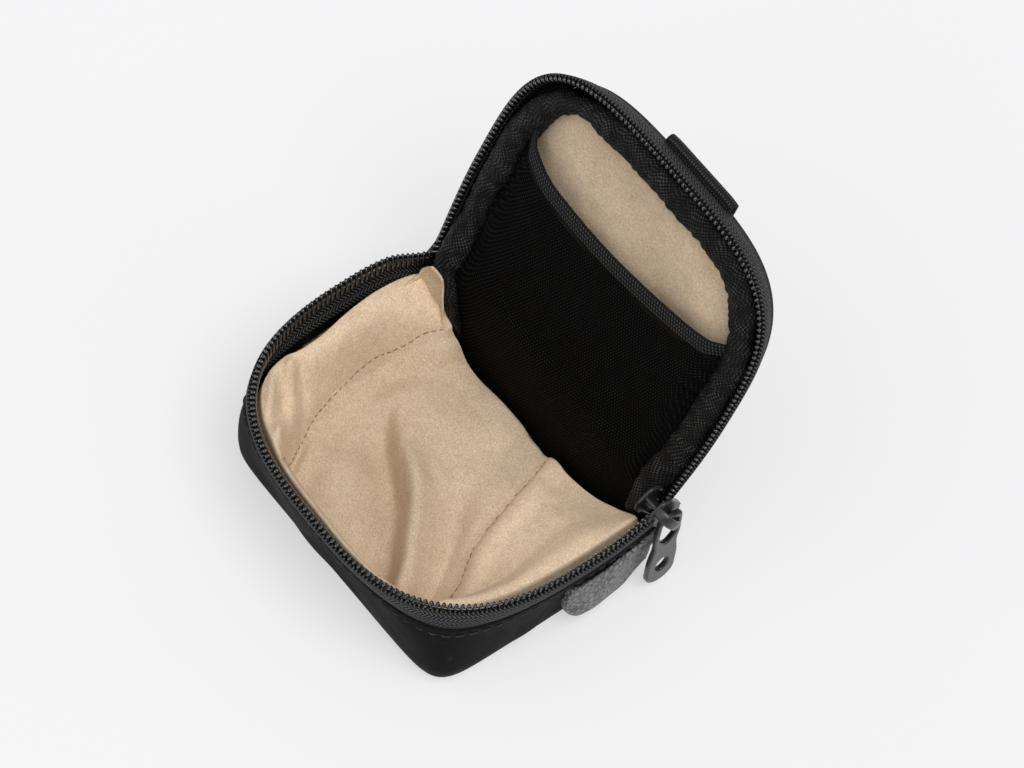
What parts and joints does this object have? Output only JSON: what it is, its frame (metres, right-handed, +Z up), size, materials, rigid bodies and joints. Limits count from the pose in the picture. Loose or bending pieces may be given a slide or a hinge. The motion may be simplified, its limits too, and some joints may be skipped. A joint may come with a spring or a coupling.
{
  "type": "zip-around pouch",
  "caption": "Small open zip-around soft pouch with a lined box, a hinged lid with a mesh pocket and padded edge, and a zip slider with a hanging pull.",
  "frame": {"origin": "on the flat resting face of the base, on the pouch's left-right centre plane, midway between the zip's front edge and the rear face", "axes": "+Z up out of the base, +X to the right along the lid's hinge, -Y towards the front where the zip opens"},
  "size_m": [0.1008, 0.1104, 0.0988],
  "materials": {
    "nylon": "matte fine-woven black nylon",
    "roll_nylon": "plain-weave black nylon with a slight sheen",
    "foam": "closed-cell foam",
    "lining": "brushed tan microfibre",
    "zip_tape": "black herringbone zip tape",
    "zip_coil": "glossy black nylon coil",
    "mesh_knit": "matte black mesh knit",
    "elastic": "ribbed black elastic",
    "webbing": "black webbing",
    "leather": "pebbled black leather",
    "board": "thin stiffener board",
    "metal": "satin black coated metal"
  },
  "bodies": {
    "pouch_body": {"base_panel": "nylon", "base_foam": "foam", "floor_lining": "lining", "wall_shell": "nylon", "wall_foam": "foam", "wall_lining": "lining", "rear_panel": "nylon", "rear_foam": "foam", "rear_lining": "lining", "body_zip_tape": "zip_tape", "body_zip_coil": "zip_coil", "leather_side_tab": "leather", "zip_end_tab_left": "webbing", "zip_end_tab_right": "webbing"},
    "lid": {"lid_zip_tape": "zip_tape", "lid_zip_coil": "zip_coil", "lid_edge_binding": "webbing", "lid_panel": "nylon", "lid_board": "board", "lid_foam": "foam", "lid_lining": "lining", "lid_rear_panel": "nylon", "lid_roll_cover": "roll_nylon", "lid_roll_core": "foam", "mesh_pocket": "mesh_knit", "pocket_elastic": "elastic", "lid_webbing_tab": "webbing"},
    "slider": {"slider_body": "metal", "slider_crown": "metal"},
    "pull": {"zip_pull": "metal"}
  },
  "joints": [
    {"name": "lid_hinge", "type": "hinge", "parent": "pouch_body", "child": "lid", "pos_m": [0, 0.0363, 0.0315], "axis": [1, 0, 0], "range_deg": [-45, 112.5]},
    {"name": "slider_travel", "type": "slide", "parent": "pouch_body", "child": "slider", "axis": [0.0442, -0.999, 0], "range_m": [0, 0.028]},
    {"name": "pull_swing", "type": "hinge", "parent": "slider", "child": "pull", "pos_m": [0.0499, 0.0348, 0.0315], "axis": [0, -1, 0], "range_deg": [0, 100]}
  ]
}
